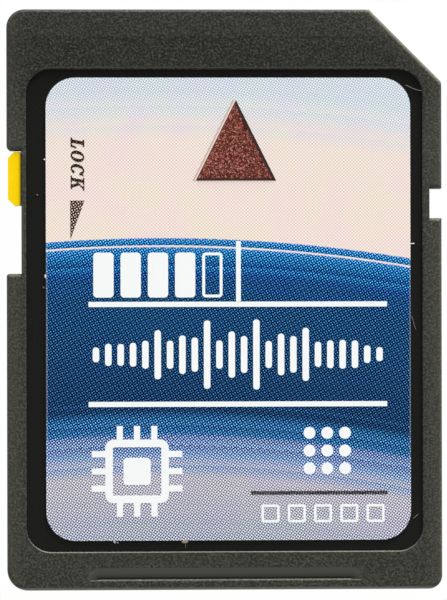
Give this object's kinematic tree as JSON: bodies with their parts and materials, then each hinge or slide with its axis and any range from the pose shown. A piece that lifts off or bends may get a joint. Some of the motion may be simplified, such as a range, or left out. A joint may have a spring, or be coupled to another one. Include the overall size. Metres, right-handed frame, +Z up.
{
  "type": "memory card",
  "caption": "Flat full-size memory card with a cut corner, a label in a shallow recess, a sliding write-protect switch, guide rails and slotted contacts on the back.",
  "frame": {"origin": "middle of the back face, on which the card lies", "axes": "+X across the card to the side of the cut corner, +Y towards the contact end, +Z up through the label"},
  "size_m": [0.024, 0.032, 0.0021],
  "materials": {
    "shell_plastic": "dark grey moulded plastic with a fine spark-eroded grain",
    "switch_plastic": "smooth yellow moulded plastic",
    "label_paper": "printed paper with fields of pale blue, cream and deep blue",
    "board_laminate": "dark green solder mask on glass laminate",
    "chip_moulding": "black epoxy moulding",
    "contact_gold": "smooth gold plating",
    "capacitor_ceramic": "tan ceramic with tinned ends",
    "resistor_ceramic": "black glazed ceramic with tinned ends"
  },
  "bodies": {
    "card": {"front_shell": "shell_plastic", "rear_shell": "shell_plastic", "label": "label_paper", "circuit_board": "board_laminate", "flash_chip": "chip_moulding", "controller_chip": "chip_moulding", "contact_9": "contact_gold", "contact_1": "contact_gold", "contact_2": "contact_gold", "contact_3": "contact_gold", "contact_4": "contact_gold", "contact_5": "contact_gold", "contact_6": "contact_gold", "contact_7": "contact_gold", "contact_8": "contact_gold", "capacitor_1": "capacitor_ceramic", "capacitor_2": "capacitor_ceramic", "capacitor_3": "capacitor_ceramic", "capacitor_4": "capacitor_ceramic", "capacitor_5": "capacitor_ceramic", "resistor_1": "resistor_ceramic", "resistor_2": "resistor_ceramic", "resistor_3": "resistor_ceramic", "resistor_4": "resistor_ceramic"},
    "switch": {"write_protect_slider": "switch_plastic"}
  },
  "joints": [
    {"name": "write_protect_slide", "type": "slide", "parent": "card", "child": "switch", "axis": [0, -1, 0], "range_m": [0, 0.00368]}
  ]
}
